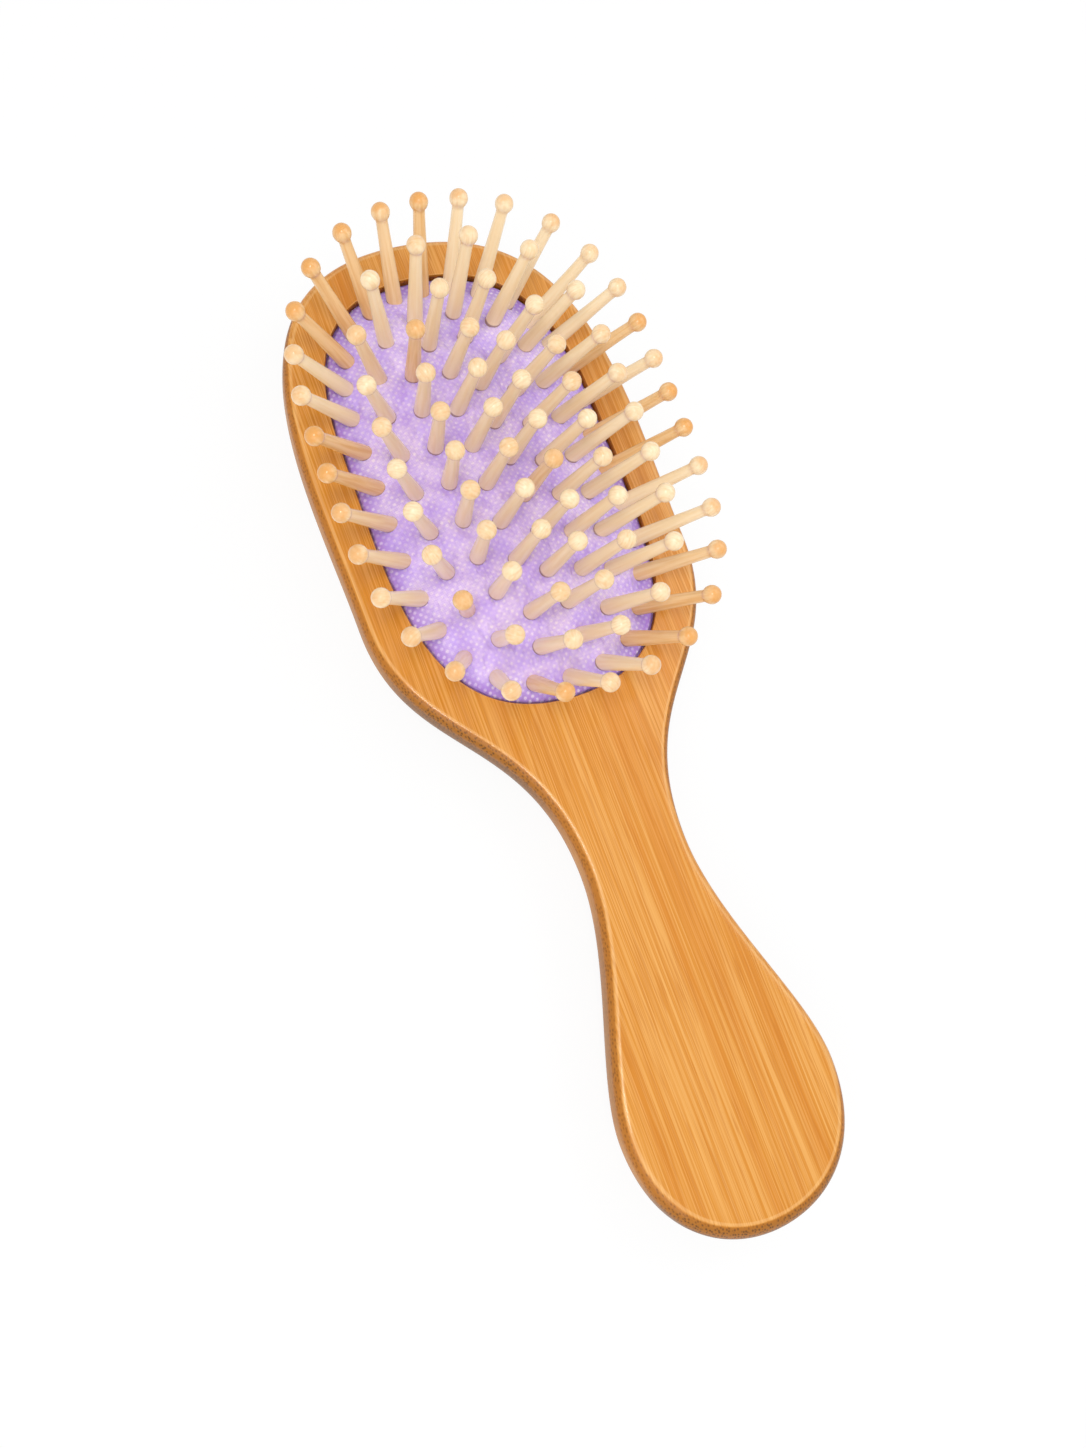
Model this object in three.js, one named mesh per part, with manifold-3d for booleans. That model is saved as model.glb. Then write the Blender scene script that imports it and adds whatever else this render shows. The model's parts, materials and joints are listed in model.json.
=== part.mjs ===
// Cushioned paddle brush: a one-piece laminated bamboo body, a domed air cushion clipped into
// its head, and a field of turned wooden pins with ball tips that stand through the cushion.
//
// Millimetres. +Y runs from the end of the handle to the head, +X to the right, +Z out of the
// face that carries the pins. The back lies flat on Z = 0.

import * as THREE from 'three';
import { mergeVertices } from 'three/addons/utils/BufferGeometryUtils.js';
import Module from 'manifold-3d';

// ---------------------------------------------------------------- driving dimensions

// The outline of the body: four widths and heights, joined by smooth stretches. A reach is how
// far a stretch keeps its direction before it starts to turn into the next one.
const LENGTH = 210;
const THICKNESS = 13;
const HEAD_WIDTH = 72.2;
const HEAD_FROM_TOP = 50.5;
const SHOULDER_WIDTH = 71;
const SHOULDER_FROM_TOP = 77.5;
const NECK_WIDTH = 21.8;
const NECK_FROM_END = 73;
const GRIP_WIDTH = 44.6;
const GRIP_FROM_END = 24.4;
const TOP_REACH = 31.8;
const HEAD_REACH_UP = 25.2;
const HEAD_REACH_DOWN = 9.5;
const SHOULDER_REACH_UP = 8.1;
const SHOULDER_REACH_DOWN = 27.8;
const NECK_REACH_UP = 31.2;
const NECK_REACH_DOWN = 16.7;
const GRIP_REACH_UP = 12.4;
const GRIP_REACH_DOWN = 17.4;
const END_REACH = 10.8;

// The edges of the body: a tight round at the face, a wide one at the back, and the least flat
// that they leave between them on the side, and across the back at the neck.
const FACE_ROUND = 2;
const BACK_ROUND = 9.3;
const SIDE_FLAT = 1;
const BACK_FLAT = 2.6;

// The egg-shaped pocket for the cushion, held off the outline by the rim of the head.
const RIM_SIDE = 8.7;
const RIM_TOP = 9;
const POCKET_LENGTH = 94.7;
const POCKET_SHOULDER = 33.5;
const POCKET_DEPTH = 6;
const POCKET_REACH_TOP = 20.8;
const POCKET_REACH_UP = 19.4;
const POCKET_REACH_DOWN = 26.7;
const POCKET_REACH_END = 32.2;
const LIP_ROUND = 0.4;
const LIP_HEIGHT = 1.6;
const GROOVE_HEIGHT = 2.2;
const GROOVE_DEPTH = 1.8;

// The cushion: a sheet with a crown over the face and a bead that sits in the groove.
const SHEET = 1.5;
const CROWN = 4.8;
const CUSHION_DROP = 1;
const CROWN_POWER = 2.6;
const CLEARANCE = 0.3;

// One pin: its reach from the top of the sheet up to the centre of its ball, and its head, which
// has some play below the sheet.
const PIN_REACH = 19.5;
const BALL_DIAMETER = 3.75;
const PIN_NECK = 2.35;
const PIN_FOOT = 3.4;
const PIN_HEAD = 4.8;
const PIN_HEAD_HEIGHT = 0.9;
const PIN_HEAD_PLAY = 2;

// The rows of pins, each a closed line round the cushion: how far out it lies, from 0 on the
// middle line to 1 at the edge, and how many pins stand on it. The outer pins stand closer
// together at the top of the head than on average, by this share, and as much wider at the neck.
const OUTER_ROW = 0.872;
const OUTER_PINS = 32;
const OUTER_CROWDING = 0.1;
const SECOND_ROW = 0.63;
const SECOND_PINS = 22;
const MIDDLE_ROW = 0.38;
const MIDDLE_PINS = 18;
const CENTRE_ROW = 0.12;
const CENTRE_PINS = 12;

// How far the pins lean out, at the edge of the cushion: at its sides, its top and its bottom.
const SPLAY_SIDE = 47;
const SPLAY_TOP = 41;
const SPLAY_BOTTOM = 20;
const SPLAY_POWER = 1.7;
const LEAN_TO_HANDLE = 6;

// Facets.
const OUTLINE_STEPS = 96;
const POCKET_STEPS = 38;
const BACK_STEPS = 4;
const FACE_STEPS = 3;
const PIN_SIDES = 6;
const SPACING_STEPS = 8 * POCKET_STEPS;

// ---------------------------------------------------------------- materials

function finish(color, roughness) {
  return new THREE.MeshStandardMaterial({ color, roughness, metalness: 0 });
}

const bamboo = finish(0xe29c50, 0.45);
const beech = finish(0xf0d0a0, 0.5);
const cloth = finish(0xc8aae1, 0.9);

// ---------------------------------------------------------------- solids

const manifold = await Module();
manifold.setup();

// A solid for joining and cutting, from any closed geometry.
function toSolid(geometry) {
  const bare = geometry.clone();
  bare.deleteAttribute('normal');
  bare.deleteAttribute('uv');
  const merged = mergeVertices(bare, 1e-4);
  const mesh = new manifold.Mesh({
    numProp: 3,
    vertProperties: new Float32Array(merged.attributes.position.array),
    triVerts: new Uint32Array(merged.index.array),
  });
  return new manifold.Manifold(mesh);
}

function toGeometry(solid) {
  const mesh = solid.getMesh();
  const geometry = new THREE.BufferGeometry();
  geometry.setAttribute('position', new THREE.BufferAttribute(mesh.vertProperties, 3));
  geometry.setIndex(new THREE.BufferAttribute(mesh.triVerts, 1));
  geometry.computeVertexNormals();
  return geometry;
}

// Two triangles between each step of one row of points and the next. Every row closes round on
// itself and has the same count.
function bandFaces(rows, bands) {
  const count = rows[0].length;
  const faces = [];
  for (let band = 0; band < bands; band += 1) {
    const here = band * count;
    const next = ((band + 1) % rows.length) * count;
    for (let k = 0; k < count; k += 1) {
      const turn = (k + 1) % count;
      faces.push([here + k, here + turn, next + turn]);
      faces.push([here + k, next + turn, next + k]);
    }
  }
  return faces;
}

// A closed ring whose section runs through the rows and back to the first.
function hoop(rows) {
  return closedGeometry(rows.flat(), bandFaces(rows, rows.length));
}

// A closed shape whose first and last row have shrunk to a line.
function lens(rows) {
  return closedGeometry(rows.flat(), bandFaces(rows, rows.length - 1));
}

// A stack of rows with its lowest and highest row filled in flat.
function loft(rows) {
  const count = rows[0].length;
  const top = (rows.length - 1) * count;
  const flat = rows[0].map((p) => new THREE.Vector2(p.x, p.y));
  const faces = bandFaces(rows, rows.length - 1);
  for (const [a, b, c] of THREE.ShapeUtils.triangulateShape(flat, [])) {
    faces.push([c, b, a]);
    faces.push([top + a, top + b, top + c]);
  }
  return closedGeometry(rows.flat(), faces);
}

// Merges points that coincide, as where a row shrinks to a line, and leaves out the triangles
// that have no area left.
function closedGeometry(points, faces) {
  const places = new Map();
  const merged = [];
  const index = points.map((point) => {
    const key = point.toArray().map((value) => value.toFixed(4)).join();
    if (!places.has(key)) {
      places.set(key, places.size);
      merged.push(...point.toArray());
    }
    return places.get(key);
  });
  const kept = faces
    .map((face) => face.map((corner) => index[corner]))
    .filter(([a, b, c]) => a !== b && b !== c && c !== a);
  const geometry = new THREE.BufferGeometry();
  geometry.setAttribute('position', new THREE.Float32BufferAttribute(merged, 3));
  geometry.setIndex(kept.flat());
  return geometry;
}

// ---------------------------------------------------------------- outlines

// A symmetrical closed line from its right half: smooth stretches between corner points, each
// given with the two points that it is drawn towards.
function closedLine(stretches, steps) {
  const path = new THREE.CurvePath();
  const vector = ([x, y]) => new THREE.Vector2(x, y);
  const mirror = ([x, y]) => new THREE.Vector2(-x, y);
  for (const points of stretches) {
    path.add(new THREE.CubicBezierCurve(...points.map(vector)));
  }
  for (const points of [...stretches].reverse()) {
    path.add(new THREE.CubicBezierCurve(...[...points].reverse().map(mirror)));
  }
  const clockwise = path.getSpacedPoints(steps).slice(0, steps);
  return [clockwise[0], ...clockwise.slice(1).reverse()];
}

function bodyLine() {
  const head = HEAD_WIDTH / 2;
  const headY = LENGTH - HEAD_FROM_TOP;
  const shoulder = SHOULDER_WIDTH / 2;
  const shoulderY = LENGTH - SHOULDER_FROM_TOP;
  const neck = NECK_WIDTH / 2;
  const grip = GRIP_WIDTH / 2;
  return closedLine([
    [[0, LENGTH], [TOP_REACH, LENGTH], [head, headY + HEAD_REACH_UP], [head, headY]],
    [[head, headY], [head, headY - HEAD_REACH_DOWN],
      [shoulder, shoulderY + SHOULDER_REACH_UP], [shoulder, shoulderY]],
    [[shoulder, shoulderY], [shoulder, shoulderY - SHOULDER_REACH_DOWN],
      [neck, NECK_FROM_END + NECK_REACH_UP], [neck, NECK_FROM_END]],
    [[neck, NECK_FROM_END], [neck, NECK_FROM_END - NECK_REACH_DOWN],
      [grip, GRIP_FROM_END + GRIP_REACH_UP], [grip, GRIP_FROM_END]],
    [[grip, GRIP_FROM_END], [grip, GRIP_FROM_END - GRIP_REACH_DOWN], [END_REACH, 0], [0, 0]],
  ], OUTLINE_STEPS);
}

const pocketHalf = HEAD_WIDTH / 2 - RIM_SIDE;
const pocketTop = LENGTH - RIM_TOP;
const pocketEnd = pocketTop - POCKET_LENGTH;

function pocketLine() {
  const widest = pocketTop - POCKET_SHOULDER;
  return closedLine([
    [[0, pocketTop], [POCKET_REACH_TOP, pocketTop],
      [pocketHalf, widest + POCKET_REACH_UP], [pocketHalf, widest]],
    [[pocketHalf, widest], [pocketHalf, widest - POCKET_REACH_DOWN],
      [POCKET_REACH_END, pocketEnd], [0, pocketEnd]],
  ], POCKET_STEPS);
}

// The line moved outwards by a distance, or inwards where it is negative, at one height.
function offsetRow(line, distance, z) {
  const count = line.length;
  return line.map((point, k) => {
    const before = line[(k + count - 1) % count];
    const after = line[(k + 1) % count];
    const along = after.clone().sub(before).normalize();
    return new THREE.Vector3(point.x + along.y * distance, point.y - along.x * distance, z);
  });
}

// ---------------------------------------------------------------- body

const faceZ = THICKNESS;
const grooveTop = faceZ - LIP_HEIGHT;
const grooveBottom = grooveTop - GROOVE_HEIGHT;

// A quarter round along the line, from one angle up: -90 degrees is flat on the back, 0 is the
// side of the body and 90 degrees is flat on the face.
function roundRows(line, radius, centreZ, from, steps) {
  return Array.from({ length: steps + 1 }, (_, k) => {
    const angle = THREE.MathUtils.degToRad(from + (90 * k) / steps);
    return offsetRow(line, radius * (Math.cos(angle) - 1), centreZ + radius * Math.sin(angle));
  });
}

function bodyBlank(line) {
  const fromSide = THICKNESS - FACE_ROUND - SIDE_FLAT;
  const back = Math.min(BACK_ROUND, (NECK_WIDTH - BACK_FLAT) / 2, fromSide);
  return toSolid(loft([
    ...roundRows(line, back, back, -90, BACK_STEPS),
    ...roundRows(line, FACE_ROUND, faceZ - FACE_ROUND, 0, FACE_STEPS),
  ]));
}

function pocketCutter(line) {
  const floor = faceZ - POCKET_DEPTH;
  const above = faceZ + THICKNESS;
  return toSolid(loft([
    offsetRow(line, 0, floor),
    offsetRow(line, 0, grooveBottom),
    offsetRow(line, GROOVE_DEPTH, grooveBottom),
    offsetRow(line, GROOVE_DEPTH, grooveTop),
    offsetRow(line, 0, grooveTop),
    offsetRow(line, 0, faceZ - LIP_ROUND),
    offsetRow(line, LIP_ROUND, faceZ),
    offsetRow(line, LIP_ROUND, above),
  ]));
}

// ---------------------------------------------------------------- cushion

const pocket = pocketLine();
const cushionEdge = offsetRow(pocket, -CLEARANCE, 0);
const middleLow = pocketEnd + pocketHalf;
const middleHigh = pocketTop - pocketHalf;

// The nearest point to a point of the edge on the cushion's middle line.
function middlePoint(edge) {
  const y = THREE.MathUtils.clamp(edge.y, middleLow, middleHigh);
  return new THREE.Vector3(0, y, 0);
}

// How high the top of the sheet lies, from the middle line, 0, to the edge, 1.
function sheetTop(out) {
  const rise = CROWN + CUSHION_DROP;
  return faceZ - CUSHION_DROP + rise * (1 - out ** CROWN_POWER);
}

// A closed row of points round the cushion.
function cushionRow(out, z) {
  return cushionEdge.map((edge) => {
    const point = middlePoint(edge).lerp(edge, out);
    point.z = z;
    return point;
  });
}

// The part of the sheet between two rows, as a closed solid. On the middle line, at 0, the
// points of its row pair up, and the solid closes there.
function sheetPart(inner, outer) {
  const middle = (inner + outer) / 2;
  const outs = inner === 0 ? [inner, middle, outer] : [inner, outer];
  const top = outs.map((out) => cushionRow(out, sheetTop(out)));
  const under = outs.map((out) => cushionRow(out, sheetTop(out) - SHEET));
  const rows = [...under, ...top.reverse()];
  return toSolid(inner === 0 ? lens(rows) : hoop(rows));
}

// The outermost part of the sheet, with its wall down into the pocket and the bead that holds it
// in the groove.
function sheetEdge(inner) {
  const beadTop = grooveTop - CLEARANCE;
  const beadBottom = grooveBottom + CLEARANCE;
  const wallIn = -CLEARANCE - SHEET;
  return toSolid(hoop([
    cushionRow(inner, sheetTop(inner) - SHEET),
    offsetRow(pocket, wallIn, Math.min(sheetTop(1) - SHEET, beadTop)),
    offsetRow(pocket, wallIn, beadBottom),
    offsetRow(pocket, GROOVE_DEPTH - CLEARANCE, beadBottom),
    offsetRow(pocket, GROOVE_DEPTH - CLEARANCE, beadTop),
    offsetRow(pocket, -CLEARANCE, beadTop),
    cushionRow(1, sheetTop(1)),
    cushionRow(inner, sheetTop(inner)),
  ]));
}

// ---------------------------------------------------------------- pins

// Where the pins of a row stand on the sheet and the direction that each one points in. They
// are spaced along a line of their own, which for the outer row is the edge of the cushion, and
// start shifted by a share of the step between them. The line starts at the top of the head.
function pinPlaces(out, count, shift, spacedAlong = out, crowding = 0) {
  const row = new THREE.CatmullRomCurve3(cushionRow(out, sheetTop(out)), true);
  const spacing = new THREE.CatmullRomCurve3(cushionRow(spacedAlong, faceZ), true);
  spacing.arcLengthDivisions = SPACING_STEPS;
  return Array.from({ length: count }, (_, k) => {
    const even = (k + shift) / count;
    const drawnUp = (crowding * Math.sin(2 * Math.PI * even)) / (2 * Math.PI);
    const at = spacing.getUtoTmapping(even - drawnUp);
    const foot = row.getPoint(at);
    const along = row.getTangent(at);
    const outward = new THREE.Vector3(along.y, -along.x, 0).normalize();
    const end = outward.y > 0 ? SPLAY_TOP : SPLAY_BOTTOM;
    const edgeSplay = THREE.MathUtils.lerp(SPLAY_SIDE, end, Math.abs(outward.y));
    const splay = THREE.MathUtils.degToRad(edgeSplay * out ** SPLAY_POWER);
    const axis = outward.multiplyScalar(Math.tan(splay));
    axis.y -= Math.tan(THREE.MathUtils.degToRad(LEAN_TO_HANDLE));
    axis.z = 1;
    return { foot, axis: axis.normalize() };
  });
}

// A turned shape round +Z from its profile of radius and height pairs.
function turned(profile) {
  const points = profile.map(([radius, z]) => new THREE.Vector2(radius, z));
  return new THREE.LatheGeometry(points, PIN_SIDES).rotateX(Math.PI / 2);
}

// The part of the profile above the sheet: a taper to the neck, then the ball.
function upperProfile() {
  const ball = BALL_DIAMETER / 2;
  const neck = PIN_NECK / 2;
  const below = Math.sqrt(ball ** 2 - neck ** 2);
  const crown = ball * Math.SQRT1_2;
  return [
    [neck, PIN_REACH - below],
    [ball, PIN_REACH],
    [crown, PIN_REACH + crown],
    [0, PIN_REACH + ball],
  ];
}

// How far below the top of the sheet the head of a pin starts: its play under the sheet lets
// the rim of the head clear a sheet that slopes against it.
const headDrop = SHEET + PIN_HEAD_PLAY;

function pinGeometry() {
  const foot = PIN_FOOT / 2;
  const head = PIN_HEAD / 2;
  return turned([
    [0, -headDrop - PIN_HEAD_HEIGHT],
    [head, -headDrop - PIN_HEAD_HEIGHT],
    [head, -headDrop],
    [foot, -headDrop],
    ...upperProfile(),
  ]);
}

// A pin that is one with its part of the sheet starts inside the sheet.
function rootedPinGeometry() {
  const foot = PIN_FOOT / 2;
  return turned([[0, -SHEET / 2], [foot, -SHEET / 2], ...upperProfile()]);
}

// The hole for a pin has the pin's own section, let out by the clearance.
function holeGeometry() {
  const radius = PIN_FOOT / 2 + CLEARANCE / Math.cos(Math.PI / PIN_SIDES);
  const reach = 2 * SHEET;
  return turned([[0, -reach], [radius, -reach], [radius, reach], [0, reach]]);
}

function stand(object, place) {
  object.position.copy(place.foot);
  object.quaternion.setFromUnitVectors(new THREE.Vector3(0, 0, 1), place.axis);
  object.updateMatrix();
  return object;
}

function placedSolid(geometry, place) {
  const matrix = stand(new THREE.Object3D(), place).matrix;
  return toSolid(geometry.clone().applyMatrix4(matrix));
}

// ---------------------------------------------------------------- assembly

const brush = new THREE.Group();

function addPart(parent, name, geometry, material) {
  const mesh = new THREE.Mesh(geometry, material);
  mesh.name = name;
  parent.add(mesh);
  return mesh;
}

const outerPlaces = pinPlaces(OUTER_ROW, OUTER_PINS, 0, 1, OUTER_CROWDING);
const secondPlaces = pinPlaces(SECOND_ROW, SECOND_PINS, 0.5);
const middlePlaces = pinPlaces(MIDDLE_ROW, MIDDLE_PINS, 0.5);
const centrePlaces = pinPlaces(CENTRE_ROW, CENTRE_PINS, 0.25);

const body = bodyBlank(bodyLine()).subtract(pocketCutter(pocket));
addPart(brush, 'bamboo_body', toGeometry(body), bamboo);

// The sheet is parted midway between its rows of pins, because each part sinks by a share of
// its own when the cushion is pressed. The pins of the two outer parts stand in holes, and the
// two inner parts carry theirs in one piece with them.
const gap = CLEARANCE / 2 / pocketHalf;
const edgeParting = (OUTER_ROW + SECOND_ROW) / 2;
const ringParting = (SECOND_ROW + MIDDLE_ROW) / 2;
const centreParting = (MIDDLE_ROW + CENTRE_ROW) / 2;

function withHoles(solid, places) {
  const hole = holeGeometry();
  return places.reduce((cut, place) => cut.subtract(placedSolid(hole, place)), solid);
}

function withPins(solid, places) {
  const pin = rootedPinGeometry();
  return places.reduce((joined, place) => joined.add(placedSolid(pin, place)), solid);
}

const edge = withHoles(sheetEdge(edgeParting + gap), outerPlaces);
addPart(brush, 'cushion_edge', toGeometry(edge), cloth);
const ring = withHoles(sheetPart(ringParting + gap, edgeParting - gap), secondPlaces);
addPart(brush, 'cushion_ring', toGeometry(ring), cloth);
const middle = withPins(sheetPart(centreParting + gap, ringParting - gap), middlePlaces);
addPart(brush, 'middle_row', toGeometry(middle), beech);
const centre = withPins(sheetPart(0, centreParting - gap), centrePlaces);
addPart(brush, 'centre_row', toGeometry(centre), beech);

function addPins(rowName, places) {
  const row = new THREE.Group();
  const geometry = pinGeometry();
  places.forEach((place, k) => {
    const number = String(k + 1).padStart(2, '0');
    stand(addPart(row, `${rowName}_pin_${number}`, geometry, beech), place);
  });
  brush.add(row);
}
addPins('outer', outerPlaces);
addPins('second', secondPlaces);

// The middle of the part's box stands over the origin.
brush.updateMatrixWorld(true);
const box = new THREE.Box3().setFromObject(brush, true);
brush.position.set(0, -(box.min.y + box.max.y) / 2, 0);

export default brush;
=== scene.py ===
# %% [markdown]
# # A wooden paddle brush
#
# The object has three kinds of piece: one bamboo body with a pocket in its head, one cloth-faced
# air cushion that sits in the pocket, and 84 turned wooden pins that stand through the cushion.
# The engineering model already holds all of them at their real size. This lesson gives them the
# shapes that the eye sees up close, their materials, the light and the camera.
#
# Everything is in metres in one shared frame: +Y runs from the end of the handle to the head, +Z
# comes out of the face with the pins, and the back lies on Z = 0. Sizes are written in
# millimetres, because that is how a brush maker would give them.

# %% The shared frame
import json
import math

import bmesh
import bpy
import numpy as np
from mathutils import Matrix, Vector, noise
from mathutils.geometry import tessellate_polygon


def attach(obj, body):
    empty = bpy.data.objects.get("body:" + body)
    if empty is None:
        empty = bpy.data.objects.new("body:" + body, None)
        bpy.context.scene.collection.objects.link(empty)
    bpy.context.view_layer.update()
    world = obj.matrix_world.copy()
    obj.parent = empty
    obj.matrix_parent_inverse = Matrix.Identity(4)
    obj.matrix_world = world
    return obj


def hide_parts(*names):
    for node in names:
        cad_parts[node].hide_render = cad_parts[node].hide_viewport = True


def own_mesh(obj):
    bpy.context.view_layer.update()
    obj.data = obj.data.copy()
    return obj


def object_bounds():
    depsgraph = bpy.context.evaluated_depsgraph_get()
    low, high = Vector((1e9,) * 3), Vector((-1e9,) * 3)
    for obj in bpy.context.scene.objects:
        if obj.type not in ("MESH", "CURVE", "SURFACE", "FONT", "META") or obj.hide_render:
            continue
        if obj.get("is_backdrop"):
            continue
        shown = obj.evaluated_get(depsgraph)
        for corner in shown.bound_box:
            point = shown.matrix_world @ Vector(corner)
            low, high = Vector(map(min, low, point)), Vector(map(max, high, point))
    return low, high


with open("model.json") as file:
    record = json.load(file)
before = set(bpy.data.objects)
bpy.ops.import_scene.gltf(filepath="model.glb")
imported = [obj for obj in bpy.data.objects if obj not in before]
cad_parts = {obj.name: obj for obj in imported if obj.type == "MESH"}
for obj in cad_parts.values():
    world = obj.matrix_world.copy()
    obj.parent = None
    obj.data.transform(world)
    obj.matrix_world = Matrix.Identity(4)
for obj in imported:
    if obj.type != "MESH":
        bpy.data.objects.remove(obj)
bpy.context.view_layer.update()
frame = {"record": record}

MM = 0.001


# %% [markdown]
# ## Camera
#
# The photograph was taken from close by, a little left of the brush and above it. The outline of
# the body and the rim of the pocket were enough to work out where: the camera stands about 270 mm
# from the middle of the brush, so the near end looks clearly larger. A longer lens from further
# off would give the same framing but the wrong proportions, which is why the place comes first
# and the lens second.

# %% Camera
camera = bpy.data.objects.new("camera", bpy.data.cameras.new("camera"))
bpy.context.scene.collection.objects.link(camera)
bpy.context.scene.camera = camera
camera_place = Vector((-86.88, -44.91, 247.71)) * MM
to_the_right = Vector((0.905195, -0.352472, 0.237457))
upward = Vector((0.289012, 0.920165, 0.264136))
turned = Matrix((to_the_right, upward, to_the_right.cross(upward))).transposed()
camera.matrix_world = Matrix.Translation(camera_place) @ turned.to_4x4()
camera.data.lens = 32.26
camera.data.sensor_width = 36
camera.data.clip_start = 10 * MM
print("camera", round(camera_place.length / MM), "mm away, lens", round(camera.data.lens, 1), "mm")


# %% [markdown]
# ## Colours and nodes
#
# Colours are picked as sRGB hex values, but shaders calculate in linear light, so one
# function turns the first into the second. A second small function adds any node to any tree:
# its inputs are given as plain values or as the sockets that feed them.
#
# Some nodes have several inputs of one name, so most inputs are given by number here. On a Math
# node 0, 1 and 2 are its values. On a Map Range node 0 is the value, 1 and 2 are the range that
# it comes from, and 3 and 4 the range that it goes to. On a Mix node for colours 0 is the share
# of the second colour, 6 and 7 are the two colours, and the result is output 2.

# %% Two helpers
def srgb(code):
    parts = [int(code[k : k + 2], 16) / 255 for k in (1, 3, 5)]
    return (*[c / 12.92 if c <= 0.04045 else ((c + 0.055) / 1.055) ** 2.4 for c in parts], 1)


def add(tree, kind, inputs=None, **settings):
    node = tree.nodes.new(kind)
    for name, value in settings.items():
        setattr(node, name, value)
    for key, value in (inputs or {}).items():
        if isinstance(value, bpy.types.NodeSocket):
            tree.links.new(value, node.inputs[key])
        else:
            node.inputs[key].default_value = value
    return node


def new_material(name):
    material = bpy.data.materials.new(name)
    material.use_nodes = True
    material.node_tree.nodes.clear()
    return material, material.node_tree


print("honey in linear light:", [round(c, 3) for c in srgb("#E29C50")])


# %% [markdown]
# ## Light, floor and background
#
# A product photograph on white has light from all round. The world gives most of it. A key lamp
# hangs high over the brush, a little to the left: it shapes the balls and puts a thin highlight
# on the arris, the line where face and edge meet. A wide fill from the lower left and a weak lamp
# from the right open the shadows. The levels are low enough that a colour renders about as it is
# written.
#
# The background is white without more light on the object: the floor and the world show white to
# camera rays, and to rays that come off a gloss or through a clear surface, and the floor keeps a
# part of the shadow so that the brush rests on something.

# %% World
WORLD_LIGHT = 0.7
PURE_WHITE = 1.0
world = bpy.data.worlds.new("studio")
bpy.context.scene.world = world
world.use_nodes = True
tree = world.node_tree
tree.nodes.clear()
ray = add(tree, "ShaderNodeLightPath")
seen = ray.outputs["Is Camera Ray"]
for kind in ("Is Glossy Ray", "Is Transmission Ray"):
    seen = add(tree, "ShaderNodeMath", {0: seen, 1: ray.outputs[kind]}, operation="MAXIMUM").outputs[0]
soft = add(tree, "ShaderNodeBackground", {"Color": srgb("#FFFFFF"), "Strength": WORLD_LIGHT})
white = add(tree, "ShaderNodeBackground", {"Color": srgb("#FFFFFF"), "Strength": PURE_WHITE})
shown = add(tree, "ShaderNodeMixShader", {0: seen, 1: soft.outputs[0], 2: white.outputs[0]})
add(tree, "ShaderNodeOutputWorld", {"Surface": shown.outputs[0]})
print("world lights the brush at", WORLD_LIGHT)

# %% Lamps
for name, place, size, power in (
    ("key", (-200, -60, 660), 160, 1.25),
    ("fill", (-340, -300, 420), 480, 1.0),
    ("side", (330, 60, 380), 320, 0.55),
):
    lamp = bpy.data.objects.new(name, bpy.data.lights.new(name, "AREA"))
    bpy.context.scene.collection.objects.link(lamp)
    lamp.data.size = size * MM
    lamp.data.energy = power
    lamp.location = Vector(place) * MM
    lamp.rotation_mode = "QUATERNION"
    lamp.rotation_quaternion = lamp.location.to_track_quat("Z", "Y")
    print(name, "lamp:", power, "W,", size, "mm wide")

# %% Floor
# A photographer's sweep of matt white paper. To the eye it is plain white with a trace of the
# brush's shadow, so nine tenths of what the camera sees of it is white and the rest is paper.
SHOWN_WHITE = 0.9
paper, tree = new_material("matt white paper")
ray = add(tree, "ShaderNodeLightPath")
seen = ray.outputs["Is Camera Ray"]
for kind in ("Is Glossy Ray", "Is Transmission Ray"):
    seen = add(tree, "ShaderNodeMath", {0: seen, 1: ray.outputs[kind]}, operation="MAXIMUM").outputs[0]
lift = add(tree, "ShaderNodeMath", {0: seen, 1: SHOWN_WHITE}, operation="MULTIPLY")
matt = add(tree, "ShaderNodeBsdfDiffuse", {"Color": srgb("#F4F4F4")})
glow = add(tree, "ShaderNodeEmission", {"Color": srgb("#FFFFFF"), "Strength": PURE_WHITE})
sweep = add(tree, "ShaderNodeMixShader", {0: lift.outputs[0], 1: matt.outputs[0], 2: glow.outputs[0]})
add(tree, "ShaderNodeOutputMaterial", {"Surface": sweep.outputs[0]})

reach, below = 4.0, -0.2 * MM
corners = [(x * reach, y * reach, below) for x, y in ((-1, -1), (1, -1), (1, 1), (-1, 1))]
floor_mesh = bpy.data.meshes.new("floor")
floor_mesh.from_pydata(corners, [], [(0, 1, 2, 3)])
floor_mesh.materials.append(paper)
floor = bpy.data.objects.new("floor", floor_mesh)
bpy.context.scene.collection.objects.link(floor)
floor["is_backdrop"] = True
print("floor", 2 * reach, "m wide")


# %% [markdown]
# ## The outline of the brush
#
# A maker would draw the body on a board with a curved ruler: a few widths, joined by smooth
# stretches. Bezier curves do the same. Each stretch runs between two corner points and leaves
# them straight up, down or sideways, so the stretches join without a kink. Only the right half is
# given and mirrored, and the closed line is then cut into even steps. The same line, moved
# inwards or outwards, gives every rounded edge.

# %% Curves
LENGTH = 210
THICKNESS = 13


def bezier(points, steps=300):
    t = np.linspace(0, 1, steps)[:, None]
    a, b, c, d = (np.array(p, float) for p in points)
    return (1 - t) ** 3 * a + 3 * (1 - t) ** 2 * t * b + 3 * (1 - t) * t**2 * c + t**3 * d


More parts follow.
